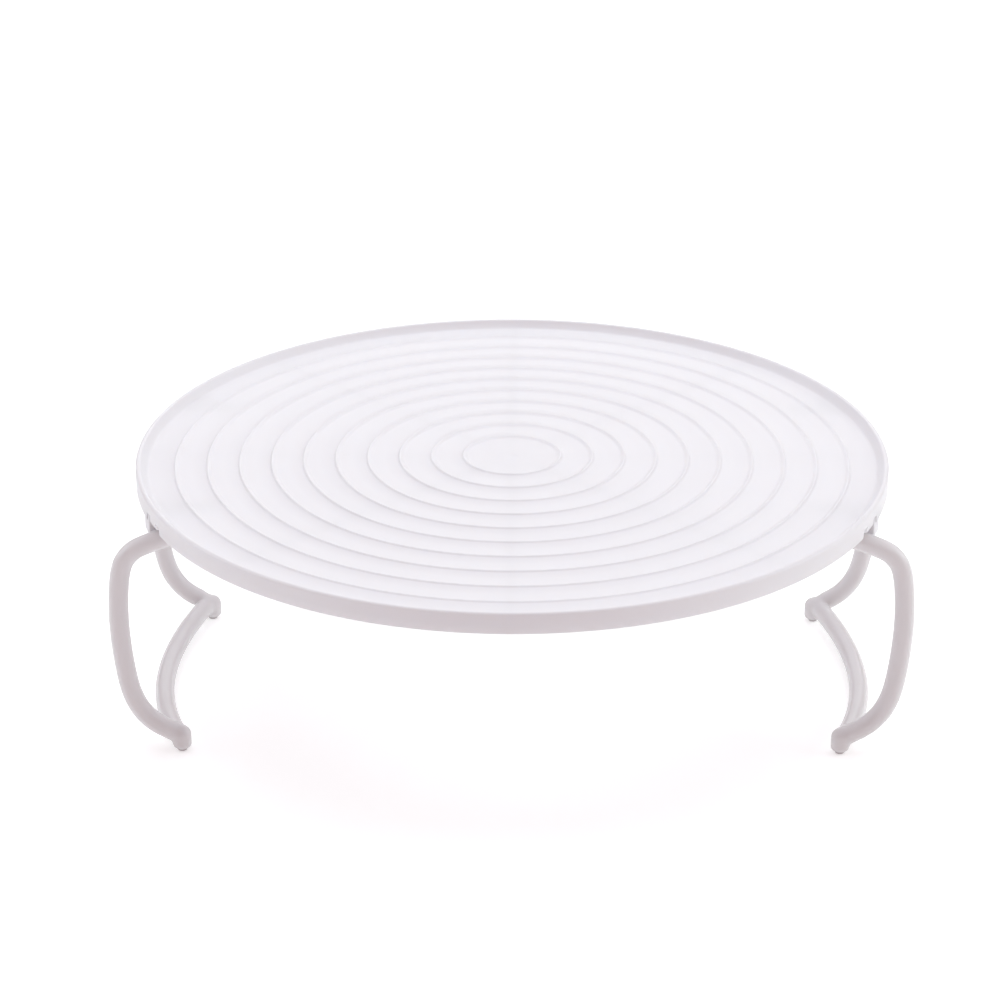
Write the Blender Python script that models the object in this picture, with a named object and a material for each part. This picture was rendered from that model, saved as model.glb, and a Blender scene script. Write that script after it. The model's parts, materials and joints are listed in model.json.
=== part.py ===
"""Round ribbed tray on two leg frames that fold flat beneath it.

Metres, +Z up. The origin is on the surface that the feet stand on, under the
middle of the tray. The leg frames stand at -X (left) and +X (right).
"""

from math import acos, cos, hypot, pi, radians, sin, sqrt, tan

import bmesh
import bpy
from mathutils import Matrix, Vector

# Tray
TRAY_RADIUS = 0.1175
DECK_HEIGHT = 0.080
DECK_THICKNESS = 0.0015
LIP_HEIGHT = 0.0025
LIP_THICKNESS = 0.0019
LIP_ROUND = 0.0006
SKIRT_DEPTH = 0.0040
TRAY_SEGMENTS = 64

# Raised rings on the deck, and stiffening ribs beneath it
RING_COUNT = 10
RING_FIRST_RADIUS = 0.0153
RING_PITCH = 0.010
RING_WIDTH = 0.0014
RING_HEIGHT = 0.0005
RIB_COUNT = 8
RIB_WIDTH = 0.0012
RIB_DEPTH = 0.0020
RING_RIB_RADIUS = 0.060
BOSS_RADIUS = 0.006

# Hinges: the pivots of both legs of a frame lie on one line along Y
HINGE_X = 0.098
HINGE_DROP = 0.0056
JOURNAL_RADIUS = 0.0023
JOURNAL_END_Y = 0.0372
BEARING_RADIUS = 0.0027
BEARING_SIDES = 16

# Bearing lugs under the tray, four alike
LUG_INNER_X = 0.0904
LUG_OUTER_RADIUS = 0.1172
LUG_Y = (0.0366, 0.0424)
LUG_DEPTH = 0.0086
PEG_OFFSET = 0.0052
PEG_RADIUS = 0.0010
PEG_LENGTH = 0.0042
PEG_SIDES = 10
LEDGE_X = (0.1006, 0.1046)
LEDGE_Y = (0.0434, 0.0490)

# Notch in the skirt where each leg passes. Over the leg the skirt stays, as a web set back a little.
NOTCH_Y = (0.0412, 0.0525)
NOTCH_TOP_DROP = 0.0013
WEB_Y = (0.0428, 0.0478)
WEB_SETBACK = 0.0007

# Leg frames
ROD_RADIUS = 0.0030
ROD_SIDES = 10
LEG_Y = 0.0462
CORNER_RADIUS = 0.0032
ELBOW_STEPS = 4
HEEL_STEPS = 5
SHOULDER_LENGTH = 0.0001
# Side view of one leg from its pivot to the heel, where it meets the bar: (X, drop below the deck)
LEG_OUTLINE = (
    (0.0980, 0.0056),
    (0.1092, 0.0095),
    (0.1152, 0.0131),
    (0.1183, 0.0196),
    (0.1195, 0.0340),
    (0.1186, 0.0495),
    (0.1163, 0.0614),
    (0.1116, 0.0690),
    (0.1034, 0.0747),
)
LEG_STEPS = 3
BAR_BULGE = 0.0086
BAR_DROP = 0.0766
BAR_STEPS = 12

# Feet, each a round-ended knob a little inward of the heel, and their pads
FOOT_INSET = 0.0013
STUB_RADIUS = 0.0029
STUB_END = 0.00075
STUB_ROUND = 0.0015
CROWN_STEPS = 4
ROUND_STEPS = 3
PAD_RADIUS = 0.0015
PAD_FLAT_RADIUS = 0.00125
PAD_EDGE = 0.00025
PAD_PEG_RADIUS = 0.0008
PAD_PEG_LENGTH = 0.0026
PAD_SIDES = 14

# Keepers that close the bearings from below
KEEPER_THICKNESS = 0.0018
KEEPER_MARGIN = 0.0003

GAP = 0.0003
SINK = 0.0005
SMOOTH_ANGLE = radians(35)
MERGE = 1e-7

DECK_BOTTOM = DECK_HEIGHT - DECK_THICKNESS
HINGE_Z = DECK_HEIGHT - HINGE_DROP
LUG_BOTTOM = DECK_HEIGHT - LUG_DEPTH
HEEL_X, HEEL_DROP = LEG_OUTLINE[-1]
HEEL_Z = DECK_HEIGHT - HEEL_DROP
FOOT_X = HEEL_X - FOOT_INSET
SIDES = {"left": -1, "right": 1}
ENDS = {"front": -1, "back": 1}


# ---------------------------------------------------------------- helpers


def clear_scene():
    for obj in list(bpy.data.objects):
        bpy.data.objects.remove(obj, do_unlink=True)


def plastic(name, color, roughness):
    """A plain moulded plastic."""
    material = bpy.data.materials.new(name)
    material.use_nodes = True
    shader = material.node_tree.nodes["Principled BSDF"]
    shader.inputs["Base Color"].default_value = (*color, 1.0)
    shader.inputs["Roughness"].default_value = roughness
    shader.inputs["Metallic"].default_value = 0.0
    return material


def finish_object(name, bm, material=None, origin=(0.0, 0.0, 0.0)):
    """Make an object of a bmesh that is in world coordinates, with its origin at a point."""
    bmesh.ops.remove_doubles(bm, verts=bm.verts, dist=MERGE)
    bmesh.ops.recalc_face_normals(bm, faces=bm.faces)
    bmesh.ops.translate(bm, verts=bm.verts, vec=-Vector(origin))
    mesh = bpy.data.meshes.new(name)
    bm.to_mesh(mesh)
    bm.free()
    mesh.shade_smooth()
    mesh.set_sharp_from_angle(angle=SMOOTH_ANGLE)
    obj = bpy.data.objects.new(name, mesh)
    obj.location = origin
    bpy.context.scene.collection.objects.link(obj)
    if material:
        mesh.materials.append(material)
    return obj


def helper_object(name, bm, origin=(0.0, 0.0, 0.0)):
    """An operand for a Boolean: it is drawn as wire and never rendered."""
    obj = finish_object(name, bm, origin=origin)
    obj.hide_render = True
    obj.display_type = "WIRE"
    return obj


def boolean(obj, operation, operand):
    modifier = obj.modifiers.new(operand.name, "BOOLEAN")
    modifier.operation = operation
    modifier.solver = "EXACT"
    modifier.object = operand


def parent_to(child, parent):
    """Parent a piece to another and leave it where it stands."""
    child.parent = parent
    child.location = child.location - parent.location


def turn(bm, profile, segments):
    """Revolve an open (radius, z) profile, both of whose ends are on the axis, about Z."""
    verts = [bm.verts.new((r, 0.0, z)) for r, z in profile]
    edges = [bm.edges.new(pair) for pair in zip(verts, verts[1:])]
    bmesh.ops.spin(
        bm,
        geom=verts + edges,
        axis=(0.0, 0.0, 1.0),
        cent=(0.0, 0.0, 0.0),
        angle=2 * pi,
        steps=segments,
        use_merge=True,
    )


def prism(bm, outline, axis, low, high):
    """Extrude a closed outline of (X, Z) points along Y, or of (X, Y) points along Z."""

    def place(a, b, level):
        return (a, level, b) if axis == "Y" else (a, b, level)

    ends = [[bm.verts.new(place(a, b, level)) for a, b in outline] for level in (low, high)]
    count = len(outline)
    for ring in ends:
        bm.faces.new(ring)
    for i in range(count):
        j = (i + 1) % count
        bm.faces.new((ends[0][i], ends[0][j], ends[1][j], ends[1][i]))


def arc(centre, radius, start, end, steps):
    """Points on an arc, from one angle to another."""
    angles = [start + (end - start) * i / steps for i in range(steps + 1)]
    return [(centre[0] + radius * cos(a), centre[1] + radius * sin(a)) for a in angles]


def tube(bm, path, radii, sides):
    """Sweep a circle along a path, turning it no more than the path turns."""
    direction = (path[1] - path[0]).normalized()
    across = direction.orthogonal().normalized()
    rings = []
    for i, (point, radius) in enumerate(zip(path, radii)):
        before = path[max(i - 1, 0)]
        after = path[min(i + 1, len(path) - 1)]
        ahead = (after - before).normalized()
        across.rotate(direction.rotation_difference(ahead))
        direction = ahead
        up = direction.cross(across)
        angles = [2 * pi * k / sides for k in range(sides)]
        rings.append([bm.verts.new(point + radius * (across * cos(a) + up * sin(a))) for a in angles])
    for one, two in zip(rings, rings[1:]):
        for k in range(sides):
            m = (k + 1) % sides
            bm.faces.new((one[k], one[m], two[m], two[k]))
    bm.faces.new(rings[0])
    bm.faces.new(rings[-1])


def spline(points, steps):
    """A Catmull-Rom curve through all the points."""
    ends = [2 * points[0] - points[1], *points, 2 * points[-1] - points[-2]]
    curve = [points[0]]
    for a, b, c, d in zip(ends, ends[1:], ends[2:], ends[3:]):
        for k in range(1, steps + 1):
            t = k / steps
            curve.append(
                0.5 * (2 * b + (c - a) * t + (2 * a - 5 * b + 4 * c - d) * t**2 + (3 * b - a - 3 * c + d) * t**3)
            )
    return curve


def round_corner(first, second, radius, steps):
    """Join two paths that meet at a corner by an arc that is tangent to both."""
    corner = first[-1]
    back = (first[-2] - corner).normalized()
    ahead = (second[1] - corner).normalized()
    half = acos(back.dot(ahead)) / 2
    trim = radius / tan(half)
    centre = corner + (back + ahead).normalized() * radius / sin(half)
    start = corner + back * trim - centre
    end = corner + ahead * trim - centre
    bend = [centre + start.slerp(end, i / steps).normalized() * radius for i in range(steps + 1)]
    kept_first = [p for p in first if (p - corner).length > trim + SHOULDER_LENGTH / 2]
    kept_second = [p for p in second if (p - corner).length > trim + SHOULDER_LENGTH / 2]
    return kept_first + bend + kept_second


# ---------------------------------------------------------------- tray


def tray_profile():
    """Half section of the tray, from the middle of its deck round to the middle beneath."""
    points = [(0.0, DECK_HEIGHT)]
    for i in range(RING_COUNT):
        r = RING_FIRST_RADIUS + i * RING_PITCH
        points += [
            (r - RING_WIDTH / 2, DECK_HEIGHT),
            (r, DECK_HEIGHT + RING_HEIGHT),
            (r + RING_WIDTH / 2, DECK_HEIGHT),
        ]
    lip_inner = TRAY_RADIUS - LIP_THICKNESS
    lip_top = DECK_HEIGHT + LIP_HEIGHT
    skirt_bottom = DECK_HEIGHT - SKIRT_DEPTH
    rib_bottom = DECK_BOTTOM - RIB_DEPTH
    points += [
        (lip_inner - LIP_ROUND, DECK_HEIGHT),
        (lip_inner, DECK_HEIGHT + LIP_ROUND),
        (lip_inner, lip_top - LIP_ROUND),
        (lip_inner + LIP_ROUND, lip_top),
        (TRAY_RADIUS - LIP_ROUND, lip_top),
        (TRAY_RADIUS, lip_top - LIP_ROUND),
        (TRAY_RADIUS, skirt_bottom),
        (lip_inner, skirt_bottom),
        (lip_inner, DECK_BOTTOM),
        (RING_RIB_RADIUS + RIB_WIDTH / 2, DECK_BOTTOM),
        (RING_RIB_RADIUS + RIB_WIDTH / 2, rib_bottom),
        (RING_RIB_RADIUS - RIB_WIDTH / 2, rib_bottom),
        (RING_RIB_RADIUS - RIB_WIDTH / 2, DECK_BOTTOM),
        (BOSS_RADIUS, DECK_BOTTOM),
        (BOSS_RADIUS, rib_bottom),
        (0.0, rib_bottom),
    ]
    return points


def notch_outline():
    """Plan of a notch: through the skirt at both ends, and between them only as deep as the web's setback."""
    inner_x = sqrt((TRAY_RADIUS - 2 * LIP_THICKNESS) ** 2 - NOTCH_Y[1] ** 2)
    web_radius = TRAY_RADIUS - WEB_SETBACK
    low, high = WEB_Y
    web = [(sqrt(web_radius**2 - y**2), y) for y in (low, (low + high) / 2, high)]
    return [
        (inner_x, NOTCH_Y[0]),
        (TRAY_RADIUS, NOTCH_Y[0]),
        (TRAY_RADIUS, NOTCH_Y[1]),
        (inner_x, NOTCH_Y[1]),
        (inner_x, high),
        *reversed(web),
        (inner_x, low),
    ]


def notch_cutters():
    """Blocks that open the skirt beside each bearing lug."""
    bm = bmesh.new()
    low = DECK_HEIGHT - 2 * SKIRT_DEPTH
    high = DECK_HEIGHT - NOTCH_TOP_DROP
    for side in SIDES.values():
        for end in ENDS.values():
            outline = [(side * x, end * y) for x, y in notch_outline()]
            prism(bm, outline, "Z", low, high)
    return helper_object("notch_cutters", bm)


def lug_outline():
    """Plan of a bearing lug: square inside, and following the skirt outside."""
    low, high = LUG_Y
    outer = [(sqrt(LUG_OUTER_RADIUS**2 - y**2), y) for y in (low, (low + high) / 2, high)]
    return [(LUG_INNER_X, low), *outer, (LUG_INNER_X, high)]


def leg_top(x):
    """Height of the top of the leg's straight upper end, at a distance x from the middle."""
    (x0, drop0), (x1, drop1) = LEG_OUTLINE[:2]
    slope = (drop1 - drop0) / (x1 - x0)
    return HINGE_Z - slope * (x - x0) + ROD_RADIUS * hypot(1.0, slope)


def tray_blocks():
    """What stands under the deck: bearing lugs, the ledges that stop the legs, and radial ribs."""
    bm = bmesh.new()
    root = DECK_BOTTOM + SINK
    ledge = [
        (LEDGE_X[0], root),
        (LEDGE_X[1], root),
        (LEDGE_X[1], leg_top(LEDGE_X[1]) + GAP),
        (LEDGE_X[0], leg_top(LEDGE_X[0]) + GAP),
    ]
    for side in SIDES.values():
        for end in ENDS.values():
            lug = [(side * x, end * y) for x, y in lug_outline()]
            prism(bm, lug, "Z", LUG_BOTTOM, root)
            outline = [(side * x, z) for x, z in ledge]
            prism(bm, outline, "Y", end * LEDGE_Y[0], end * LEDGE_Y[1])
    half = RIB_WIDTH / 2
    inner = BOSS_RADIUS - SINK
    outer = TRAY_RADIUS - LIP_THICKNESS + SINK
    bottom = DECK_BOTTOM - RIB_DEPTH + SINK
    for i in range(RIB_COUNT):
        turned = Matrix.Rotation(2 * pi * i / RIB_COUNT, 2)
        corners = ((inner, -half), (outer, -half), (outer, half), (inner, half))
        outline = [tuple(turned @ Vector(corner)) for corner in corners]
        prism(bm, outline, "Z", bottom, root)
    return helper_object("tray_blocks", bm)


def bearing_cutters():
    """In each lug, a bearing that is open downwards, and two holes for the keeper's pegs."""
    bm = bmesh.new()
    below = LUG_BOTTOM - SINK
    saddle = arc((0.0, HINGE_Z), BEARING_RADIUS, 0.0, pi, BEARING_SIDES // 2)
    saddle = [(BEARING_RADIUS, below), *saddle, (-BEARING_RADIUS, below)]
    peg_top = LUG_BOTTOM - GAP + PEG_LENGTH + GAP
    for side in SIDES.values():
        for end in ENDS.values():
            outline = [(side * HINGE_X + x, z) for x, z in saddle]
            prism(bm, outline, "Y", end * (LUG_Y[0] - SINK), end * (LUG_Y[1] + SINK))
            for offset in (-PEG_OFFSET, PEG_OFFSET):
                centre = (side * HINGE_X + offset, end * sum(LUG_Y) / 2)
                hole = arc(centre, PEG_RADIUS + GAP, 0.0, 2 * pi, PEG_SIDES)[:-1]
                prism(bm, hole, "Z", below, peg_top)
    return helper_object("bearing_cutters", bm)


def make_tray(material):
    bm = bmesh.new()
    turn(bm, tray_profile(), TRAY_SEGMENTS)
    tray = finish_object("tray", bm, material)
    boolean(tray, "DIFFERENCE", notch_cutters())
    boolean(tray, "UNION", tray_blocks())
    boolean(tray, "DIFFERENCE", bearing_cutters())
    return tray


# ---------------------------------------------------------------- hinge keepers


def make_keeper(name, side, end, material):
    """A cap under a bearing lug: its saddle carries the pivot and its two pegs hold it up."""
    bm = bmesh.new()
    top = LUG_BOTTOM - GAP
    half_width = BEARING_RADIUS - GAP
    cradle = JOURNAL_RADIUS + GAP
    spread = acos(half_width / cradle)
    saddle = arc((0.0, HINGE_Z), cradle, -spread, -pi + spread, BEARING_SIDES // 2)
    inner = LUG_INNER_X + KEEPER_MARGIN - HINGE_X
    outline = [
        (-inner, top - KEEPER_THICKNESS),
        (-inner, top),
        (half_width, top),
        *saddle,
        (-half_width, top),
        (inner, top),
        (inner, top - KEEPER_THICKNESS),
    ]
    outline = [(side * HINGE_X + x, z) for x, z in outline]
    low = LUG_Y[0] + KEEPER_MARGIN
    high = LUG_Y[1] - KEEPER_MARGIN
    prism(bm, outline, "Y", end * low, end * high)
    origin = (side * HINGE_X, end * sum(LUG_Y) / 2, top)
    keeper = finish_object(name, bm, material, origin)
    pegs = bmesh.new()
    for offset in (-PEG_OFFSET, PEG_OFFSET):
        centre = (origin[0] + offset, origin[1])
        peg = arc(centre, PEG_RADIUS, 0.0, 2 * pi, PEG_SIDES)[:-1]
        prism(pegs, peg, "Z", top - SINK, top + PEG_LENGTH)
    boolean(keeper, "UNION", helper_object(name + "_pegs", pegs, origin))
    return keeper


# ---------------------------------------------------------------- leg frames


def half_frame_path():
    """Centre line of the back half of the right frame, from its pivot's end to the bar's middle."""
    corner = Vector((HINGE_X, LEG_Y, HINGE_Z))
    shoulder_y = LEG_Y - CORNER_RADIUS - SHOULDER_LENGTH
    pivot = [Vector((HINGE_X, y, HINGE_Z)) for y in (JOURNAL_END_Y, shoulder_y)]
    leg = spline([Vector((x, LEG_Y, DECK_HEIGHT - drop)) for x, drop in LEG_OUTLINE], LEG_STEPS)
    heel = leg[-1]
    bar = []
    for i in range(BAR_STEPS + 1):
        y = 1.0 - i / BAR_STEPS
        x = HEEL_X + BAR_BULGE * (1 - y**2)
        z = HEEL_Z - (BAR_DROP - HEEL_DROP) * (1 - y**2)
        bar.append(Vector((x, LEG_Y * y, z)))
    bar[0] = heel
    path = round_corner([*pivot, corner], leg, CORNER_RADIUS, ELBOW_STEPS)
    return round_corner(path, bar, CORNER_RADIUS, HEEL_STEPS)


def frame_path(side):
    """The whole centre line and the radius at each of its points."""
    half = half_frame_path()
    mirrored = [Vector((p.x, -p.y, p.z)) for p in reversed(half[:-1])]
    path = [Vector((side * p.x, p.y, p.z)) for p in half + mirrored]
    pivot_ends = [JOURNAL_RADIUS] * 2
    radii = pivot_ends + [ROD_RADIUS] * (len(path) - 4) + pivot_ends
    return path, radii


def make_leg_frame(name, side, material):
    """One bent rod: pivot, leg, heel, bar, heel, leg, pivot, with a knob for a foot at each heel."""
    origin = (side * HINGE_X, 0.0, HINGE_Z)
    bm = bmesh.new()
    tube(bm, *frame_path(side), ROD_SIDES)
    frame = finish_object(name, bm, material, origin)
    stubs = bmesh.new()
    holes = bmesh.new()
    crown = arc((0.0, HEEL_Z), STUB_RADIUS, pi / 2, 0.0, CROWN_STEPS)
    round_end = (STUB_RADIUS - STUB_ROUND, STUB_END + STUB_ROUND)
    sole = arc(round_end, STUB_ROUND, 0.0, -pi / 2, ROUND_STEPS)
    stub = [(0.0, HEEL_Z + STUB_RADIUS), *crown[1:], *sole, (0.0, STUB_END)]
    for end in ENDS.values():
        one = bmesh.new()
        turn(one, stub, PAD_SIDES)
        bmesh.ops.translate(one, verts=one.verts, vec=(side * FOOT_X, end * LEG_Y, 0.0))
        spare = bpy.data.meshes.new("stub")
        one.to_mesh(spare)
        one.free()
        stubs.from_mesh(spare)
        bpy.data.meshes.remove(spare)
        hole = arc((side * FOOT_X, end * LEG_Y), PAD_PEG_RADIUS + GAP, 0.0, 2 * pi, PEG_SIDES)[:-1]
        prism(holes, hole, "Z", STUB_END - SINK, STUB_END + PAD_PEG_LENGTH)
    boolean(frame, "UNION", helper_object(name + "_stubs", stubs, origin))
    boolean(frame, "DIFFERENCE", helper_object(name + "_holes", holes, origin))
    return frame


def make_foot_pad(name, side, end, material):
    """A small round pad whose peg is pushed up into the foot."""
    bm = bmesh.new()
    top = STUB_END - GAP
    profile = [
        (0.0, top + PAD_PEG_LENGTH),
        (PAD_PEG_RADIUS, top + PAD_PEG_LENGTH),
        (PAD_PEG_RADIUS, top),
        (PAD_RADIUS, top),
        (PAD_RADIUS, PAD_EDGE),
        (PAD_FLAT_RADIUS, 0.0),
        (0.0, 0.0),
    ]
    turn(bm, profile, PAD_SIDES)
    bmesh.ops.translate(bm, verts=bm.verts, vec=(side * FOOT_X, end * LEG_Y, 0.0))
    return finish_object(name, bm, material, (side * FOOT_X, end * LEG_Y, top))


# ---------------------------------------------------------------- assembly


def main():
    clear_scene()
    tray_plastic = plastic("tray_plastic", (0.87, 0.865, 0.885), 0.38)
    leg_plastic = plastic("leg_plastic", (0.82, 0.80, 0.815), 0.36)
    keeper_plastic = plastic("keeper_plastic", (0.78, 0.77, 0.785), 0.45)
    pad_plastic = plastic("pad_plastic", (0.62, 0.59, 0.60), 0.75)
    tray = make_tray(tray_plastic)
    for side_name, side in SIDES.items():
        frame = make_leg_frame("leg_frame_" + side_name, side, leg_plastic)
        for end_name, end in ENDS.items():
            corner_name = f"{side_name}_{end_name}"
            keeper = make_keeper("hinge_keeper_" + corner_name, side, end, keeper_plastic)
            parent_to(keeper, tray)
            pad = make_foot_pad("foot_pad_" + corner_name, side, end, pad_plastic)
            parent_to(pad, frame)


main()
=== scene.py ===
"""Looks of a folding round plate rack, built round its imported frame.

A round white tray with raised rings stands on two bent-rod leg frames that fold flat
beneath it. Metres, +Z up. The origin is on the surface that the feet stand on, under the
middle of the tray. The leg frames stand at -X (left) and +X (right).
"""

import json
from math import cos, pi, radians, sin

import bpy
import numpy as np
from bpy.props import FloatProperty, FloatVectorProperty, IntProperty, PointerProperty
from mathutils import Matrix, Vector


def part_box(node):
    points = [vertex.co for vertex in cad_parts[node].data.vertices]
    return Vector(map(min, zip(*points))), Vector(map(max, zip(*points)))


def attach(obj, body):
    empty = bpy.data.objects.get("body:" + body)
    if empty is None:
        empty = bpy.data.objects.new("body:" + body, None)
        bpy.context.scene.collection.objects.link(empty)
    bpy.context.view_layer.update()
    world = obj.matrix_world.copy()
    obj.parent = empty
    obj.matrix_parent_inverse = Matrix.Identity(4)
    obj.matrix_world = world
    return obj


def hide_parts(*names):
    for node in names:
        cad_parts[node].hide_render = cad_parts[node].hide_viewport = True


bl_info = {
    "name": "Folding plate rack",
    "version": (1, 0, 0),
    "blender": (4, 5, 0),
    "location": "View3D > Sidebar > Plate rack",
    "description": "Builds the tray, leg frames, keepers and foot pads of a folding plate rack",
    "category": "Add Mesh",
}

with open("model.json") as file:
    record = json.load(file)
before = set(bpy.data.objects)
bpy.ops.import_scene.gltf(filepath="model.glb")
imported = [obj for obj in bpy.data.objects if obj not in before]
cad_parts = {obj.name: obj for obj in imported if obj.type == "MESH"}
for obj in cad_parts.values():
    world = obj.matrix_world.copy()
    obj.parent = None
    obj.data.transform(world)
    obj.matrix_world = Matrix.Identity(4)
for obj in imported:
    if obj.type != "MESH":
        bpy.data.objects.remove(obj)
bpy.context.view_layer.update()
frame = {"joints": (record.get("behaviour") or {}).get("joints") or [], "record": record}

# Places and sizes that the frame gives
SIDES = {"left": -1, "right": 1}
ENDS = {"front": -1, "back": 1}
JOINTS = {joint["name"]: joint for joint in frame["joints"]}
MOUNTS = {mount["name"]: mount for mount in frame["record"]["mounts"]}
TRAY_LOW, TRAY_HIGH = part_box("tray")
KEEPER_LOW, KEEPER_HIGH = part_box("hinge_keeper_right_back")
PAD_LOW, PAD_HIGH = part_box("foot_pad_right_back")
DECK_Z = MOUNTS["tray_deck"]["pos_m"][2]
HINGE_X = JOINTS["right_leg_fold"]["pos_m"][0]
HINGE_Z = JOINTS["right_leg_fold"]["pos_m"][2]
FOOT_X, FOOT_Y, FLOOR_Z = MOUNTS["foot_right_back"]["pos_m"]
LUG_BOTTOM = TRAY_LOW.z
GAP = 0.0003
SINK = 0.0005

# Side view of one leg from its pivot to the heel, where it meets the bar: (X, drop below the deck)
LEG_OUTLINE = (
    (0.0980, 0.0056),
    (0.1092, 0.0095),
    (0.1152, 0.0131),
    (0.1183, 0.0196),
    (0.1195, 0.0340),
    (0.1186, 0.0495),
    (0.1163, 0.0614),
    (0.1116, 0.0690),
    (0.1034, 0.0747),
)
HEEL_X, HEEL_DROP = LEG_OUTLINE[-1]
HEEL_Z = DECK_Z - HEEL_DROP


# ---------------------------------------------------------------- settings


def size(name, description, default):
    """A length, in metres."""
    return FloatProperty(name=name, description=description, default=default, unit="LENGTH")


def turn(name, description, degrees):
    """An angle, given in degrees."""
    return FloatProperty(
        name=name, description=description, default=radians(degrees), subtype="ANGLE"
    )


def count(name, description, default, least):
    """A whole number."""
    return IntProperty(name=name, description=description, default=default, min=least)


def tint(name, description, default):
    """A colour."""
    return FloatVectorProperty(
        name=name, description=description, default=default, size=3, subtype="COLOR"
    )


class RackTraySettings(bpy.types.PropertyGroup):
    """Sizes of the tray."""

    radius: size("Radius", "Outer radius of the skirt", TRAY_HIGH.x)
    thickness: size("Deck thickness", "Thickness of the deck", 0.0015)
    lip_thickness: size("Lip thickness", "Thickness of the lip and skirt", 0.0019)
    skirt_depth: size("Skirt depth", "Depth of the skirt below the deck", 0.0040)
    ring_count: count("Rings", "Number of raised rings", 10, 1)
    ring_start: size("First ring", "Radius of the innermost ring", 0.0153)
    ring_pitch: size("Ring pitch", "Distance from ring to ring", 0.010)
    ring_width: size("Ring width", "Width of a ring at its foot", 0.0020)
    ring_height: size("Ring height", "Height of a ring over the deck", 0.0005)
    rib_count: count("Ribs", "Number of radial ribs beneath", 8, 3)
    rib_depth: size("Rib depth", "Depth of the ribs beneath the deck", 0.0020)
    rib_width: size("Rib width", "Width of a rib at its root", 0.0012)
    columns: count("Columns", "Mesh columns round the tray", 256, 32)


class RackLegSettings(bpy.types.PropertyGroup):
    """Sizes of the leg frames and their feet."""

    rod_radius: size("Rod radius", "Radius of the bent rod", 0.0030)
    pivot_radius: size("Pivot radius", "Radius of the pivots", 0.0023)
    corner_radius: size("Corner radius", "Bend at the elbows and feet", 0.0032)
    bar_bulge: size("Bar bulge", "How far the bar bows outwards", 0.0086)
    bar_drop: size("Bar drop", "Depth of the bar's middle below the deck", 0.0766)
    foot_radius: size("Foot radius", "Radius of the knob that is a foot", 0.0029)
    foot_round: size("Foot rounding", "Rounding of a foot's lower edge", 0.0015)
    foot_blend: size("Foot blend", "Width of the soft blend of a foot", 0.0016)
    sides: count("Sides", "Mesh columns round the rod", 36, 8)


class RackColourSettings(bpy.types.PropertyGroup):
    """Colours of the four finishes. The pads' grey and the legs' pinkish tint also hold painted
    shade.
    """

    tray: tint("Tray", "White of the tray", (0.86, 0.855, 0.88))
    # The legs' white is darker and pinker than the tray's: partly the frames' own tint and partly
    # painted pinkish shade.
    legs: tint("Legs", "White of the leg frames", (0.80, 0.78, 0.79))
    keepers: tint("Keepers", "White of the hinge keepers", (0.77, 0.76, 0.77))
    # The pads' darker grey is partly their own rubber and partly painted contact shadow under each
    # foot.
    pads: tint("Pads", "Grey of the foot pads", (0.60, 0.56, 0.57))


class RackStageSettings(bpy.types.PropertyGroup):
    """Floor, lights and camera."""

    elevation: turn("Elevation", "Camera above the horizon", 23.95)
    azimuth: turn("Azimuth", "Camera turned about the rack", 0.55)
    distance: size("Distance", "Camera from its aim", 0.8964)
    aim: FloatVectorProperty(
        name="Aim",
        description="Point that the camera looks at",
        default=(-0.0035, 0.0003, 0.0642),
        size=3,
        subtype="TRANSLATION",
    )
    lens: FloatProperty(name="Lens", description="Focal length in millimetres", default=101.7)


# ---------------------------------------------------------------- shapes

# A shape is a pair: its points, as rows of x, y, z, and its faces, as lists of point numbers.


def smooth_step(x):
    """0 below 0, 1 above 1, and 3x^2 - 2x^3 between."""
    x = np.clip(x, 0.0, 1.0)
    return x * x * (3.0 - 2.0 * x)


def grid_quads(rows, columns, close_columns=True, first=0):
    """Quads of a grid numbered row by row, whose last column may join its first."""
    i = np.arange(rows - 1)[:, None]
    j = np.arange(columns if close_columns else columns - 1)[None, :]
    k = (j + 1) % columns
    corners = (i * columns + j, i * columns + k, (i + 1) * columns + k, (i + 1) * columns + j)
    return (np.stack(np.broadcast_arrays(*corners), -1).reshape(-1, 4) + first).tolist()


def joined(shapes):
    """Several shapes as one."""
    points, faces, first = [], [], 0
    for shape_points, shape_faces in shapes:
        points.append(shape_points)
        faces += [[n + first for n in face] for face in shape_faces]
        first += len(shape_points)
    return np.concatenate(points), faces


def turned(radii, heights, angles):
    """A profile turned about Z, from the pole on top to the pole beneath.

    Point (i, j) is (r_ij cos a_j, r_ij sin a_j, z_ij). The profile's ends are on the axis and
    become one point each.
    """
    radii = np.broadcast_to(radii, (len(radii), len(angles)))
    heights = np.broadcast_to(heights, (len(heights), len(angles)))
    r = radii[1:-1]
    grid = np.stack([r * np.cos(angles), r * np.sin(angles), heights[1:-1]], -1)
    rows, columns = grid.shape[:2]
    top = [0.0, 0.0, heights[0, 0]]
    bottom = [0.0, 0.0, heights[-1, 0]]
    points = np.concatenate([[top], grid.reshape(-1, 3), [bottom]])
    j = np.arange(columns)
    k = (j + 1) % columns
    last = 1 + (rows - 1) * columns
    cap = np.stack([np.zeros_like(j), k + 1, j + 1], -1).tolist()
    base = np.stack([np.full_like(j, len(points) - 1), last + j, last + k], -1).tolist()
    quads = [face[::-1] for face in grid_quads(rows, columns, first=1)]
    return points, cap + quads + base


def lofted(rows):
    """Closed outlines joined one to the next, with a flat face over each end."""
    rows = np.asarray(rows, float)
    count, columns = rows.shape[:2]
    start = list(range(columns))[::-1]
    end = list(range((count - 1) * columns, count * columns))
    return rows.reshape(-1, 3), [start, end] + grid_quads(count, columns)


def arc(centre, radius, start, end, steps):
    """(a, b) points on an arc from one angle to another, both ends included."""
    angles = np.linspace(start, end, steps + 1)
    return np.stack([centre[0] + radius * np.cos(angles), centre[1] + radius * np.sin(angles)], -1)


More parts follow.
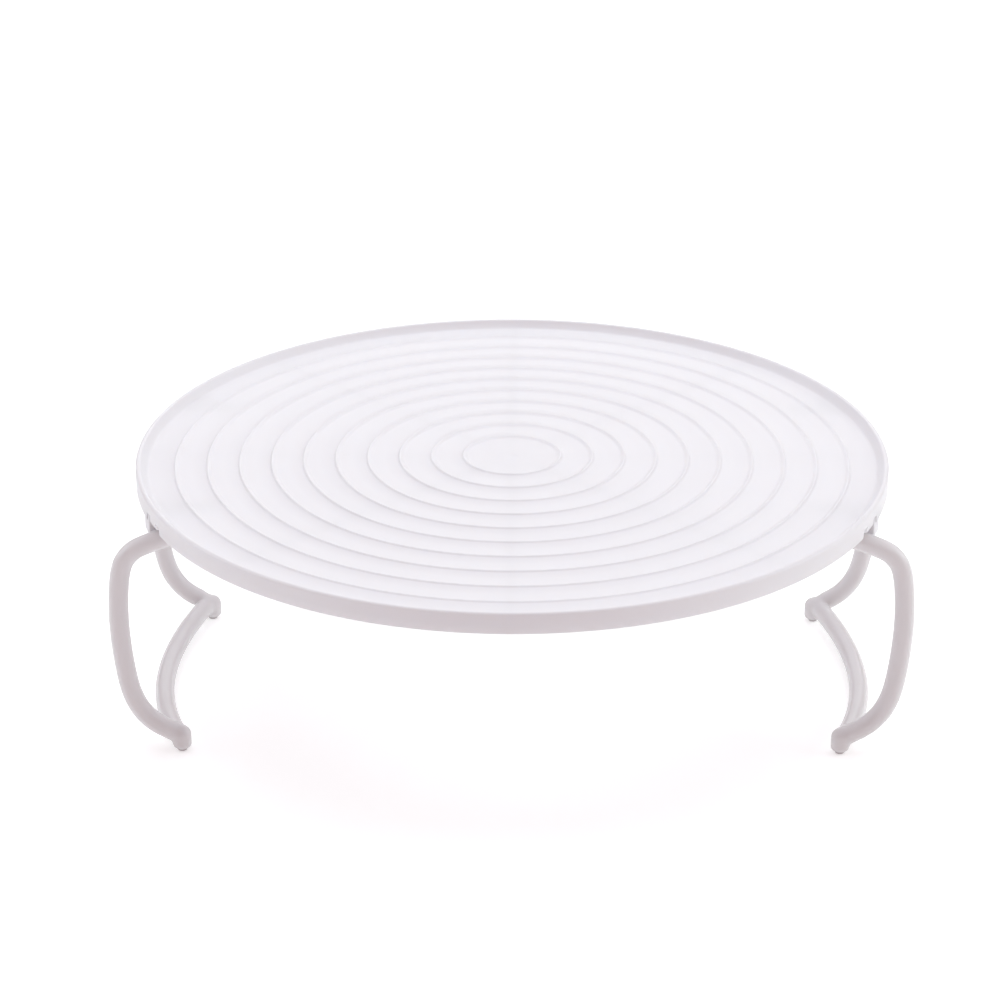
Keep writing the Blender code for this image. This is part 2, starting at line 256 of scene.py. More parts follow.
def curve_through(points, steps):
    """A Catmull-Rom curve: cubics whose slope at a point is that of its neighbours' chord."""
    points = np.asarray(points, float)
    ends = np.concatenate([[2 * points[0] - points[1]], points, [2 * points[-1] - points[-2]]])
    a, b, c, d = (ends[i : len(ends) - 3 + i, None] for i in range(4))
    t = (np.arange(steps) / steps)[None, :, None]
    square = 2 * a - 5 * b + 4 * c - d
    cube = 3 * b - a - 3 * c + d
    span = 0.5 * (2 * b + (c - a) * t + square * t**2 + cube * t**3)
    return np.concatenate([span.reshape(-1, points.shape[1]), points[-1:]])


def unit(vector):
    return vector / np.linalg.norm(vector)


BEND_CLEARANCE = 1.05


def bent(first, second, radius, steps):
    """Two paths that meet at a corner, joined by an arc that is tangent to both."""
    corner = first[-1]
    back = unit(first[-2] - corner)
    ahead = unit(second[1] - corner)
    half = np.arccos(np.clip(back @ ahead, -1.0, 1.0)) / 2
    trim = radius / np.tan(half)
    centre = corner + unit(back + ahead) * radius / np.sin(half)
    start = unit(corner + back * trim - centre)
    end = unit(corner + ahead * trim - centre)
    sweep = pi - 2 * half
    t = np.linspace(0.0, 1.0, steps + 1)[:, None]
    turned_to = (np.sin((1 - t) * sweep) * start + np.sin(t * sweep) * end) / np.sin(sweep)
    bend = centre + radius * turned_to
    clear = BEND_CLEARANCE * trim
    kept_first = first[np.linalg.norm(first - corner, axis=1) > clear]
    kept_second = second[np.linalg.norm(second - corner, axis=1) > clear]
    return np.concatenate([kept_first, bend, kept_second])


def along(path, spacing):
    """The path with its points put at an even distance, and the length up to each."""
    steps = np.linalg.norm(np.diff(path, axis=0), axis=1)
    length = np.concatenate([[0.0], np.cumsum(steps)])
    even = np.linspace(0.0, length[-1], int(round(length[-1] / spacing)) + 1)
    return np.stack([np.interp(even, length, path[:, i]) for i in range(3)], -1), even


# No path starts along this direction
ODD_DIRECTION = (0.3, 0.2, 1.0)


def carried_frames(path):
    """At each point of a path two unit vectors across it, turned no more than the path turns."""
    ahead = np.gradient(path, axis=0)
    ahead /= np.linalg.norm(ahead, axis=1, keepdims=True)
    across = np.empty_like(path)
    across[0] = unit(np.cross(ahead[0], ODD_DIRECTION))
    for i in range(1, len(path)):
        across[i] = unit(across[i - 1] - ahead[i] * (across[i - 1] @ ahead[i]))
    return across, np.cross(ahead, across)


def swept(path, radii, sides):
    """A circle carried along a path: point (i, j) is p_i + r_i (u_i cos a_j + v_i sin a_j)."""
    u, v = carried_frames(path)
    angles = 2 * pi * np.arange(sides)[None, :, None] / sides
    ring = u[:, None] * np.cos(angles) + v[:, None] * np.sin(angles)
    return lofted(path[:, None] + np.asarray(radii)[:, None, None] * ring)


def softened(shape, width, segments=3, angle=30.0):
    """The shape with its sharp edges rounded by a Bevel."""
    obj = mesh_object("softened", shape)
    bevel = obj.modifiers.new("Rounded edges", "BEVEL")
    bevel.width = width
    bevel.segments = segments
    bevel.limit_method = "ANGLE"
    bevel.angle_limit = radians(angle)
    return taken_back(obj)


def united(shape, others):
    """The shape and the others made one closed body by Booleans."""
    obj = mesh_object("united", shape)
    helpers = [mesh_object("helper", other) for other in others]
    for helper in helpers:
        boolean = obj.modifiers.new("Union", "BOOLEAN")
        boolean.operation = "UNION"
        boolean.solver = "EXACT"
        boolean.object = helper
    result = taken_back(obj)
    for helper in helpers:
        bpy.data.objects.remove(helper, do_unlink=True)
    return result


def taken_back(obj):
    """The shape of an object with its modifiers done. The object is removed."""
    graph = bpy.context.evaluated_depsgraph_get()
    graph.update()
    done = obj.evaluated_get(graph).to_mesh()
    points = np.empty(len(done.vertices) * 3)
    done.vertices.foreach_get("co", points)
    faces = [list(face.vertices) for face in done.polygons]
    obj.evaluated_get(graph).to_mesh_clear()
    bpy.data.objects.remove(obj, do_unlink=True)
    return points.reshape(-1, 3), faces


def mesh_object(name, shape):
    """An object at the origin with the shape in its mesh."""
    mesh = bpy.data.meshes.new(name)
    mesh.from_pydata(shape[0].tolist(), [], shape[1])
    mesh.validate()
    mesh.update()
    obj = bpy.data.objects.new(name, mesh)
    bpy.context.scene.collection.objects.link(obj)
    return obj


def facing_out(shape):
    """The shape with its faces turned outwards, by the sign of the volume that they enclose."""
    points, faces = shape
    fans = [(face[0], b, c) for face in faces for b, c in zip(face[1:], face[2:])]
    volume = np.linalg.det(points[np.array(fans)]).sum()
    return shape if volume > 0 else (points, [face[::-1] for face in faces])


def mirrored(shape, side, end):
    """The shape of the right back corner moved to another corner."""
    points, faces = shape
    flip = side * end < 0
    return points * (side, end, 1), [face[::-1] for face in faces] if flip else faces


def make_piece(name, shape, material, body, node, sharp=40.0):
    """A finished piece that rides on a body and stands for the frame's own node."""
    obj = mesh_object(name, shape)
    obj.data.shade_smooth()
    obj.data.set_sharp_from_angle(angle=radians(sharp))
    obj.data.materials.append(material)
    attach(obj, body)
    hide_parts(node)
    return obj


# ---------------------------------------------------------------- tray


NOTCH_ANGLES = (radians(20.7), radians(26.75))
WEB_ANGLES = (radians(21.5), radians(24.9))
WEB_SETBACK = 0.0005
NOTCH_EDGE = radians(0.18)
NOTCH_ROOF_DROP = 0.0010
NOTCH_TOP_DROP = 0.0013
NOTCH_REACH = 0.0045
LIP_ROUND = 0.0009
LIP_FILLET = 0.0012
LIP_SPREAD = 0.0011
LIP_SLOPE = radians(44)
RING_SKEW = 0.3
FILLET = 0.0006
MOULD_EDGE = 0.0003
RIB_EDGE = 0.0002
RIB_TAPER = 0.8
RING_RIB_RADIUS = 0.060
BOSS_RADIUS = 0.006
GATE_RADIUS = 0.0019
GATE_DEPTH = 0.00012
GATE_REACH = 1.3
GATE_FLAT = 0.25
DECK_FIRST_STATION = 0.008
LUG_INNER_X = 0.0904
LUG_OUTER_RADIUS = 0.1172
LUG_Y = (0.0366, 0.0424)
BEARING_RADIUS = 0.0027
LEDGE_X = (0.1006, 0.1046)
LEDGE_Y = (0.0434, 0.0490)


def lip_foot(tray):
    """Centre radius of the hollow between the deck and the lip's sloping inner wall."""
    return tray.radius - tray.lip_thickness - LIP_SPREAD - LIP_FILLET


def deck_stations(tray):
    """Radii across the deck: close together over each ring, and one between two rings."""
    rings = tray.ring_start + tray.ring_pitch * np.arange(tray.ring_count)
    over_ring = (np.linspace(-1.0, 1.0, 11) - RING_SKEW) * tray.ring_width / 2
    fine = (rings[:, None] + over_ring).ravel()
    between = rings[:-1] + tray.ring_pitch / 2
    gate = np.linspace(0.0, GATE_REACH, 9) * GATE_RADIUS
    single = [DECK_FIRST_STATION, lip_foot(tray) - MOULD_EDGE]
    return np.unique(np.concatenate([gate, fine, between, single]))


def deck_height(radii, tray):
    """Height over the deck: each ring is a raised cosine, and the gate mark a shallow dish.

    A ring's outer flank is the shorter: off its crest it spans (1 - s) w / 2, and the inner
    flank (1 + s) w / 2, where w is the ring's width and s its skew.
    """
    rings = tray.ring_start + tray.ring_pitch * np.arange(tray.ring_count)
    off = (radii[:, None] - rings) / tray.ring_width
    off = np.abs(off / (1.0 - RING_SKEW * np.sign(off)))
    ring = np.where(off < 0.5, np.cos(pi * off) ** 2, 0.0).sum(1) * tray.ring_height
    gate = -GATE_DEPTH * (1.0 - smooth_step(radii / GATE_RADIUS - GATE_FLAT))
    return ring + gate


def tray_profile(tray):
    """Radii and heights from the deck's middle over the lip and skirt to the middle beneath."""
    radii = deck_stations(tray)
    deck = np.stack([radii, DECK_Z + deck_height(radii, tray)], -1)
    inner = tray.radius - tray.lip_thickness
    top = TRAY_HIGH.z
    bottom = DECK_Z - tray.skirt_depth
    under = DECK_Z - tray.thickness
    rib = under - tray.rib_depth
    half = tray.rib_width / 2
    edge = MOULD_EDGE
    parts = [
        deck,
        arc((lip_foot(tray), DECK_Z + LIP_FILLET), LIP_FILLET, -pi / 2, -LIP_SLOPE, 6),
        arc((inner + LIP_ROUND, top - LIP_ROUND), LIP_ROUND, pi - LIP_SLOPE / 2, pi / 2, 6),
        arc((tray.radius - LIP_ROUND, top - LIP_ROUND), LIP_ROUND, pi / 2, 0.0, 6),
        [(tray.radius, DECK_Z - drop) for drop in (0.0, NOTCH_ROOF_DROP, NOTCH_TOP_DROP)],
        arc((tray.radius - edge, bottom + edge), edge, 0.0, -pi / 2, 3),
        arc((inner + edge, bottom + edge), edge, -pi / 2, -pi, 3),
        arc((inner - FILLET, under - FILLET), FILLET, 0.0, pi / 2, 4),
        [(inner - NOTCH_REACH, under)],
        [(RING_RIB_RADIUS + half + edge, under)],
        arc((RING_RIB_RADIUS + half - edge, rib + edge), edge, 0.0, -pi / 2, 3),
        arc((RING_RIB_RADIUS - half + edge, rib + edge), edge, -pi / 2, -pi, 3),
        [(RING_RIB_RADIUS - half - edge, under)],
        arc((BOSS_RADIUS + FILLET, under - FILLET), FILLET, pi / 2, pi, 4),
        arc((BOSS_RADIUS - edge, rib + edge), edge, 0.0, -pi / 2, 3),
        [(BOSS_RADIUS / 2, rib), (0.0, rib)],
    ]
    return np.concatenate([np.asarray(part, float) for part in parts]).T


def share_between(angles, span):
    """1 between two angles and 0 outside them, with smooth ends, in all four quarters."""
    folded = np.arcsin(np.abs(np.sin(angles)))
    rise = smooth_step((folded - span[0]) / (2 * NOTCH_EDGE) + 0.5)
    return rise * smooth_step((span[1] - folded) / (2 * NOTCH_EDGE) + 0.5)


def tray_shell(tray):
    """The turned profile, with the skirt drawn up towards the deck at the four notches.

    Below the notch's roof a height is roof - (roof - z) k, where k falls from 1 to a tenth
    within a notch, and only near the rim. Over the leg the skirt stays as a web: there k is 1,
    and the outer wall below the roof is set back.
    """
    radii, heights = tray_profile(tray)
    even = 2 * pi * np.arange(tray.columns) / tray.columns
    edge = NOTCH_EDGE * np.linspace(-1.0, 1.0, 7)
    first = np.concatenate([angle + edge for angle in (*NOTCH_ANGLES, *WEB_ANGLES)])
    corners = np.concatenate([first, pi - first, pi + first, 2 * pi - first])
    angles = np.unique(np.round(np.concatenate([even, corners]), 9))
    web_share = share_between(angles, WEB_ANGLES)
    open_share = share_between(angles, NOTCH_ANGLES) * (1.0 - web_share)
    roof = DECK_Z - NOTCH_ROOF_DROP
    left_over = (NOTCH_TOP_DROP - NOTCH_ROOF_DROP) / (tray.skirt_depth - NOTCH_ROOF_DROP)
    rim = tray.radius - tray.lip_thickness - NOTCH_REACH
    near_rim = smooth_step((radii - rim) / (NOTCH_REACH / 2))
    share = 1.0 - (1.0 - left_over) * near_rim[:, None] * open_share[None, :]
    drawn_up = roof - (roof - heights[:, None]) * share
    outer_wall = (heights < roof - 1e-6) & (radii > tray.radius - tray.lip_thickness / 2)
    set_back = radii[:, None] - WEB_SETBACK * outer_wall[:, None] * web_share[None, :]
    lifted = np.where(heights[:, None] < roof, drawn_up, heights[:, None])
    return turned(set_back, lifted, angles)


def lug(tray):
    """A bearing lug: its side view, with the saddle open downwards, carried along Y.

    Its outer end follows the skirt: x = sqrt(R^2 - y^2).
    """
    root = DECK_Z - tray.thickness + SINK
    saddle = arc((HINGE_X, HINGE_Z), BEARING_RADIUS, pi, 0.0, 12)
    rows = []
    for y in np.linspace(*LUG_Y, 7):
        outer = np.sqrt(LUG_OUTER_RADIUS**2 - y**2)
        outline = [
            (LUG_INNER_X, root),
            (LUG_INNER_X, LUG_BOTTOM),
            (HINGE_X - BEARING_RADIUS, LUG_BOTTOM),
            *saddle,
            (HINGE_X + BEARING_RADIUS, LUG_BOTTOM),
            (outer, LUG_BOTTOM),
            (outer, root),
        ]
        rows.append([(x, y, z) for x, z in outline])
    return softened(facing_out(lofted(rows)), MOULD_EDGE)


def leg_top(x, legs):
    """Height of the top of the leg's straight upper end, at a distance x from the middle."""
    (x0, drop0), (x1, drop1) = LEG_OUTLINE[:2]
    slope = (drop1 - drop0) / (x1 - x0)
    return HINGE_Z - slope * (x - x0) + legs.rod_radius * np.hypot(1.0, slope)


def ledge(tray, legs):
    """A ledge under the deck that the leg's upper end comes up against."""
    root = DECK_Z - tray.thickness + SINK
    outline = [(LEDGE_X[0], root), (LEDGE_X[0], leg_top(LEDGE_X[0], legs) + GAP)]
    outline += [(LEDGE_X[1], leg_top(LEDGE_X[1], legs) + GAP), (LEDGE_X[1], root)]
    rows = [[(x, y, z) for x, z in outline] for y in np.linspace(*LEDGE_Y, 3)]
    return softened(facing_out(lofted(rows)), MOULD_EDGE)


def rib(angle, tray):
    """A radial rib: a section that narrows downwards, carried from the boss to the skirt."""
    half = tray.rib_width / 2
    under = DECK_Z - tray.thickness
    root = under + SINK
    foot = under - tray.rib_depth + GAP
    section = [(half, root), (-half, root), (-RIB_TAPER * half, foot), (RIB_TAPER * half, foot)]
    ends = (BOSS_RADIUS - SINK, tray.radius - tray.lip_thickness + SINK)
    rows = np.array([[(x, y, z) for y, z in section] for x in np.linspace(*ends, 12)])
    c, s = cos(angle), sin(angle)
    points, faces = softened(facing_out(lofted(rows)), RIB_EDGE, 2)
    return points @ np.array([[c, s, 0.0], [-s, c, 0.0], [0.0, 0.0, 1.0]]), faces


def tray_shape(tray, legs):
    """The turned shell with its four lugs, four ledges and radial ribs."""
    corners = [(side, end) for side in SIDES.values() for end in ENDS.values()]
    kinds = (lug(tray), ledge(tray, legs))
    blocks = [mirrored(block, side, end) for block in kinds for side, end in corners]
    ribs = [rib(2 * pi * i / tray.rib_count, tray) for i in range(tray.rib_count)]
    return joined([facing_out(tray_shell(tray)), *blocks, *ribs])


# ---------------------------------------------------------------- leg frames


PIVOT_END_Y = 0.0372
FOOT_END_Z = 0.00075
STEP = 0.0006
SHOULDER_LENGTH = 0.0004
PIVOT_CHAMFER = 0.0003
BAR_POINTS = 80
BEND_STEPS = 12
# A foot's blend: how far the rod is looked at, how far it reaches and where it starts to fade
ROD_REACH = 0.012
BLEND_REACH = 0.009
BLEND_FADE = 0.006
BLEND_STEPS = 3
SLOPE_STEP = 1e-5


def half_path(legs):
    """Centre line of the right frame's back half, from its pivot's end to the bar's middle.

    The bar is a parabola: x = heel + bulge (1 - t^2), z = heel - drop (1 - t^2), y = t y_heel.
    """
    corner = np.array([HINGE_X, FOOT_Y, HINGE_Z])
    pivot = np.array([(HINGE_X, y, HINGE_Z) for y in np.linspace(PIVOT_END_Y, FOOT_Y, 24)])
    side_view = curve_through(LEG_OUTLINE, BEND_STEPS)
    leg = np.stack([side_view[:, 0], np.full(len(side_view), FOOT_Y), DECK_Z - side_view[:, 1]], -1)
    leg[0] = corner
    t = np.linspace(1.0, 0.0, BAR_POINTS)
    rise = 1 - t**2
    sag = legs.bar_drop - HEEL_DROP
    bar = np.stack([HEEL_X + legs.bar_bulge * rise, FOOT_Y * t, HEEL_Z - sag * rise], -1)
    path = bent(pivot, leg, legs.corner_radius, BEND_STEPS)
    return bent(path, bar, legs.corner_radius, BEND_STEPS)


def knob_profile(legs):
    """Radii and heights of a foot: a round crown, a straight wall and a rounded lower edge."""
    crown = arc((0.0, HEEL_Z), legs.foot_radius, pi / 2, 0.0, 8)
    lower = (legs.foot_radius - legs.foot_round, FOOT_END_Z + legs.foot_round)
    sole = arc(lower, legs.foot_round, 0.0, -pi / 2, 8)
    levels = np.linspace(HEEL_Z, lower[1], 8)[1:-1]
    wall = np.stack([np.full(len(levels), legs.foot_radius), levels], -1)
    profile = np.concatenate([crown, wall, sole, [(0.0, FOOT_END_Z)]])
    profile[0, 0] = 0.0
    return profile


def frame_shape(legs):
    """The right leg frame: a rod swept from pivot to pivot, with a knob blended in at each heel."""
    half = half_path(legs)
    path, length = along(np.concatenate([half, half[-2::-1] * (1, -1, 1)]), STEP)
    shoulder = FOOT_Y - PIVOT_END_Y - legs.corner_radius
    from_end = np.minimum(length, length[-1] - length)
    growth = smooth_step((from_end - shoulder) / SHOULDER_LENGTH + 0.5)
    chamfer = PIVOT_CHAMFER * (1 - smooth_step(from_end / SHOULDER_LENGTH))
    radii = legs.pivot_radius + (legs.rod_radius - legs.pivot_radius) * growth - chamfer
    rod = facing_out(swept(path, radii, legs.sides))
    angles = 2 * pi * np.arange(legs.sides) / legs.sides
    profile = knob_profile(legs)
    knob_points, knob_faces = facing_out(turned(profile[:, :1], profile[:, 1:], angles))
    knobs = [(knob_points + (FOOT_X, end * FOOT_Y, 0.0), knob_faces) for end in ENDS.values()]
    points, faces = united(rod, knobs)
    return blended_feet(points, path, legs), faces


def knob_distance(p, centre, legs):
    """Distance to a knob's skin: a ball's above the centre, a round-edged cylinder's below it."""
    out = np.hypot(p[:, 0] - centre[0], p[:, 1] - centre[1])
    ball = np.hypot(out, p[:, 2] - centre[2]) - legs.foot_radius
    beside = out - (legs.foot_radius - legs.foot_round)
    below = FOOT_END_Z + legs.foot_round - p[:, 2]
    outside = np.hypot(np.maximum(beside, 0.0), np.maximum(below, 0.0))
    cylinder = outside + np.minimum(np.maximum(beside, below), 0.0) - legs.foot_round
    return np.where(p[:, 2] > centre[2], ball, cylinder)


def blended_feet(points, path, legs):
    """The points near each foot moved on to a soft union of rod and knob.

    With a and b the distances to the rod's and the knob's skins, the soft union's is
    min(a, b) - k h^2 / 4, where h = max(1 - |a - b| / k, 0). Each point takes a few steps of
    that distance along its slope.
    """

    def distance(p, centre):
        near = path[np.abs(path[:, 1] - centre[1]) < ROD_REACH]
        rod = np.sqrt(((p[:, None] - near[None]) ** 2).sum(-1).min(1)) - legs.rod_radius
        knob = knob_distance(p, centre, legs)
        h = np.maximum(1 - np.abs(rod - knob) / legs.foot_blend, 0.0)
        return np.minimum(rod, knob) - legs.foot_blend * h**2 / 4

    def slope_at(p, centre, here):
        nudges = SLOPE_STEP * np.eye(3)
        slope = np.stack([distance(p + nudge, centre) - here for nudge in nudges], -1)
        return slope / (np.linalg.norm(slope, axis=1, keepdims=True) + 1e-12)

    moved = points.copy()
    for end in ENDS.values():
        centre = np.array([FOOT_X, end * FOOT_Y, HEEL_Z])
        close = np.linalg.norm(moved - centre, axis=1) < BLEND_REACH
        p = moved[close]
        beyond = np.linalg.norm(p - centre, axis=1) - BLEND_FADE
        fade = 1 - smooth_step(beyond / (BLEND_REACH - BLEND_FADE))
        for _ in range(BLEND_STEPS):
            here = distance(p, centre)
            p = p - slope_at(p, centre, here) * (here * fade)[:, None]
        moved[close] = p
    return moved


# ---------------------------------------------------------------- keepers and pads


KEEPER_SADDLE_RADIUS = 0.0026
KEEPER_HALF_WIDTH = 0.0024
KEEPER_EDGE = 0.00025
PAD_GAP = 0.00003
PAD_EDGE = 0.00025
PAD_PEG_RADIUS = 0.0008
PAD_SIDES = 40


def keeper_shape():
    """A cap under a lug: its side view, with a cradle for the pivot, carried along Y."""
    top = LUG_BOTTOM - GAP
    spread = np.arccos(KEEPER_HALF_WIDTH / KEEPER_SADDLE_RADIUS)
    cradle = arc((HINGE_X, HINGE_Z), KEEPER_SADDLE_RADIUS, -spread, spread - pi, 10)
    outline = [
        (KEEPER_HIGH.x, KEEPER_LOW.z),
        (KEEPER_HIGH.x, top),
        (HINGE_X + KEEPER_HALF_WIDTH, top),
        *cradle,
        (HINGE_X - KEEPER_HALF_WIDTH, top),
        (KEEPER_LOW.x, top),
        (KEEPER_LOW.x, KEEPER_LOW.z),
    ]
    rows = [[(x, y, z) for x, z in outline] for y in np.linspace(KEEPER_LOW.y, KEEPER_HIGH.y, 3)]
    return softened(facing_out(lofted(rows)), KEEPER_EDGE)


def pad_shape():
    """A round pad with a peg: a turned profile with a rounded lower edge."""
    top = FOOT_END_Z - PAD_GAP
    radius = (PAD_HIGH.x - PAD_LOW.x) / 2
    peg = PAD_PEG_RADIUS
    soft = PAD_EDGE / 2
    profile = np.concatenate(
        [
            [(0.0, PAD_HIGH.z), (peg - soft, PAD_HIGH.z), (peg, PAD_HIGH.z - soft), (peg, top)],
            arc((radius - soft, top - soft), soft, pi / 2, 0.0, 3),
            arc((radius - PAD_EDGE, PAD_EDGE), PAD_EDGE, 0.0, -pi / 2, 6),
            [(peg, 0.0), (0.0, 0.0)],
        ]
    )
    angles = 2 * pi * np.arange(PAD_SIDES) / PAD_SIDES
    points, faces = turned(profile[:, :1], profile[:, 1:], angles)
    return facing_out((points + (FOOT_X, FOOT_Y, 0.0), faces))


# ---------------------------------------------------------------- materials


def add_node(tree, kind, place, **values):
    """A node at a place in the editor.

    A value whose name is a property of the node is set on the node, any other on its input.
    """
    node = tree.nodes.new(kind)
    node.location = place
    for name, value in values.items():
        if hasattr(node, name):
            setattr(node, name, value)
        else:
            node.inputs[name.replace("_", " ")].default_value = value
    return node


SCUFF_STRETCH = (160.0, 900.0, 160.0)
SCUFF_TURN = 0.6
SCUFF_SPAN = (0.66, 0.74)
SCUFF_ROUGHNESS = 0.18
SCUFF_DEPTH = 0.6
ROUGHNESS_DRIFT = 0.05
PLASTIC_IOR = 1.49
MILK_TINT = (1.0, 0.95, 0.9)
MILK_DEPTH = 0.0018


def moulded_skin():
    """Shader nodes shared by the plastics: cloudy tint, fine grain and hairline scuffs.

    Cloud is a wide soft noise that leans the colour towards the shade. Grain is a fine noise for
    the surface's height. Scuffs are the thin ridges of a stretched noise, scaled by the Wear
    amount.
    """
    found = bpy.data.node_groups.get("Moulded skin")
    if found:
        return found
    tree = bpy.data.node_groups.new("Moulded skin", "ShaderNodeTree")
    for name, kind, default in (
        ("Vector", "NodeSocketVector", None),
        ("Colour", "NodeSocketColor", (0.8, 0.8, 0.8, 1.0)),
        ("Shade", "NodeSocketColor", (0.7, 0.7, 0.7, 1.0)),
        ("Cloud scale", "NodeSocketFloat", 30.0),
        ("Cloud amount", "NodeSocketFloat", 0.3),
        ("Grain scale", "NodeSocketFloat", 1500.0),
        ("Roughness", "NodeSocketFloat", 0.35),
        ("Wear", "NodeSocketFloat", 0.0),
    ):
        socket = tree.interface.new_socket(name=name, in_out="INPUT", socket_type=kind)
        if default is not None:
            socket.default_value = default
    for name, kind in (
        ("Colour", "NodeSocketColor"),
        ("Roughness", "NodeSocketFloat"),
        ("Height", "NodeSocketFloat"),
    ):
        tree.interface.new_socket(name=name, in_out="OUTPUT", socket_type=kind)
    link = tree.links.new
    entry = add_node(tree, "NodeGroupInput", (-900, 0))
    leave = add_node(tree, "NodeGroupOutput", (700, 0))
    cloud = add_node(tree, "ShaderNodeTexNoise", (-600, 300), Detail=3.0, Roughness=0.55)
    link(entry.outputs["Vector"], cloud.inputs["Vector"])
    link(entry.outputs["Cloud scale"], cloud.inputs["Scale"])
    amount = add_node(tree, "ShaderNodeMath", (-400, 300), operation="MULTIPLY")
    link(cloud.outputs["Fac"], amount.inputs[0])
    link(entry.outputs["Cloud amount"], amount.inputs[1])
    tint = add_node(tree, "ShaderNodeMix", (-150, 300), data_type="RGBA")
    link(amount.outputs[0], tint.inputs["Factor"])
    link(entry.outputs["Colour"], tint.inputs[6])
    link(entry.outputs["Shade"], tint.inputs[7])
    grain = add_node(tree, "ShaderNodeTexNoise", (-600, 0), Detail=2.0, Roughness=0.6)
    link(entry.outputs["Vector"], grain.inputs["Vector"])
    link(entry.outputs["Grain scale"], grain.inputs["Scale"])
    stretch = add_node(
        tree, "ShaderNodeMapping", (-750, -300), Scale=SCUFF_STRETCH, Rotation=(0, 0, SCUFF_TURN)
    )
    link(entry.outputs["Vector"], stretch.inputs["Vector"])
    hair = add_node(tree, "ShaderNodeTexNoise", (-550, -300), Scale=1.0, Detail=1.0, Distortion=0.4)
    link(stretch.outputs["Vector"], hair.inputs["Vector"])
    ridge = add_node(tree, "ShaderNodeMapRange", (-350, -300))
    ridge.inputs["From Min"].default_value = SCUFF_SPAN[0]
    ridge.inputs["From Max"].default_value = SCUFF_SPAN[1]
    link(hair.outputs["Fac"], ridge.inputs["Value"])
    scuff = add_node(tree, "ShaderNodeMath", (-150, -300), operation="MULTIPLY")
    link(ridge.outputs["Result"], scuff.inputs[0])
    link(entry.outputs["Wear"], scuff.inputs[1])
    uneven = add_node(tree, "ShaderNodeMapRange", (-150, 0))
    uneven.inputs["To Min"].default_value = -ROUGHNESS_DRIFT
    uneven.inputs["To Max"].default_value = ROUGHNESS_DRIFT
    link(cloud.outputs["Fac"], uneven.inputs["Value"])
    base_rough = add_node(tree, "ShaderNodeMath", (100, 0), operation="ADD")
    link(entry.outputs["Roughness"], base_rough.inputs[0])
    link(uneven.outputs["Result"], base_rough.inputs[1])
    rough = add_node(tree, "ShaderNodeMath", (300, 0), operation="MULTIPLY_ADD")
    rough.inputs[1].default_value = SCUFF_ROUGHNESS
    link(scuff.outputs[0], rough.inputs[0])
    link(base_rough.outputs[0], rough.inputs[2])
    height = add_node(tree, "ShaderNodeMath", (300, -200), operation="MULTIPLY_ADD")
    height.inputs[1].default_value = -SCUFF_DEPTH
    link(scuff.outputs[0], height.inputs[0])
    link(grain.outputs["Fac"], height.inputs[2])
    link(tint.outputs[2], leave.inputs["Colour"])
    link(rough.outputs[0], leave.inputs["Roughness"])
    link(height.outputs[0], leave.inputs["Height"])
    return tree


def shaded(colour, share):
    return [share * channel for channel in colour]


def moulded_plastic(
    name, colour, shade, roughness, cloud=(30.0, 0.3), grain=(1500.0, 0.00001), wear=0.0, milky=0.0
):
    """A moulded plastic: the shared skin drives a Principled shader's colour, roughness and bump.

    Cloud is the scale and amount of the tint's clouds, and grain the scale and height of the
    grain. Milky is how much of the light goes a little way into the plastic and out again.
    """
    material = bpy.data.materials.new(name)
    material.use_nodes = True
    tree = material.node_tree
    shader = tree.nodes["Principled BSDF"]
    shader.inputs["IOR"].default_value = PLASTIC_IOR
    shader.inputs["Subsurface Weight"].default_value = milky
    shader.inputs["Subsurface Radius"].default_value = MILK_TINT
    shader.inputs["Subsurface Scale"].default_value = MILK_DEPTH
    place = add_node(tree, "ShaderNodeTexCoord", (-900, 0))
    skin = add_node(tree, "ShaderNodeGroup", (-500, 0))
    skin.node_tree = moulded_skin()
    values = {
        "Colour": (*colour, 1.0),
        "Shade": (*shade, 1.0),
        "Cloud scale": cloud[0],
        "Cloud amount": cloud[1],
        "Grain scale": grain[0],
        "Roughness": roughness,
        "Wear": wear,
    }
    for socket, value in values.items():
        skin.inputs[socket].default_value = value
    bump = add_node(tree, "ShaderNodeBump", (-250, -250), Strength=1.0, Distance=grain[1])
    link = tree.links.new
    link(place.outputs["Object"], skin.inputs["Vector"])
    link(skin.outputs["Colour"], shader.inputs["Base Color"])
    link(skin.outputs["Roughness"], shader.inputs["Roughness"])
    link(skin.outputs["Height"], bump.inputs["Height"])
    link(bump.outputs["Normal"], shader.inputs["Normal"])
    return material


# ---------------------------------------------------------------- operators


class RackTray(bpy.types.Operator):
    """Build the round tray with its rings, lip, skirt, lugs and ribs"""

    bl_idname = "rack.tray"
    bl_label = "Tray"

    def execute(self, context):
        scene = context.scene
        colour = scene.rack_colours.tray
        material = moulded_plastic(
            "Tray plastic", colour, shaded(colour, 0.95), 0.36, wear=0.6, milky=0.4
        )
        shape = tray_shape(scene.rack_tray, scene.rack_legs)
        make_piece("tray_moulding", shape, material, "tray_body", "tray")
        return {"FINISHED"}


class RackLegFrames(bpy.types.Operator):
    """Build the two bent-rod leg frames with their feet"""

    bl_idname = "rack.leg_frames"
    bl_label = "Leg frames"

    def execute(self, context):
        scene = context.scene
        colour = scene.rack_colours.legs
        # Painted shade: the leg colour carries part of the pinkish tint of the shaded sides.
        material = moulded_plastic("Leg plastic", colour, shaded(colour, 0.94), 0.25, milky=0.2)
        shape = frame_shape(scene.rack_legs)
        for name, side in SIDES.items():
            one = mirrored(shape, side, 1)
            node = "leg_frame_" + name
            make_piece("leg_rod_" + name, one, material, name + "_leg", node)
        return {"FINISHED"}


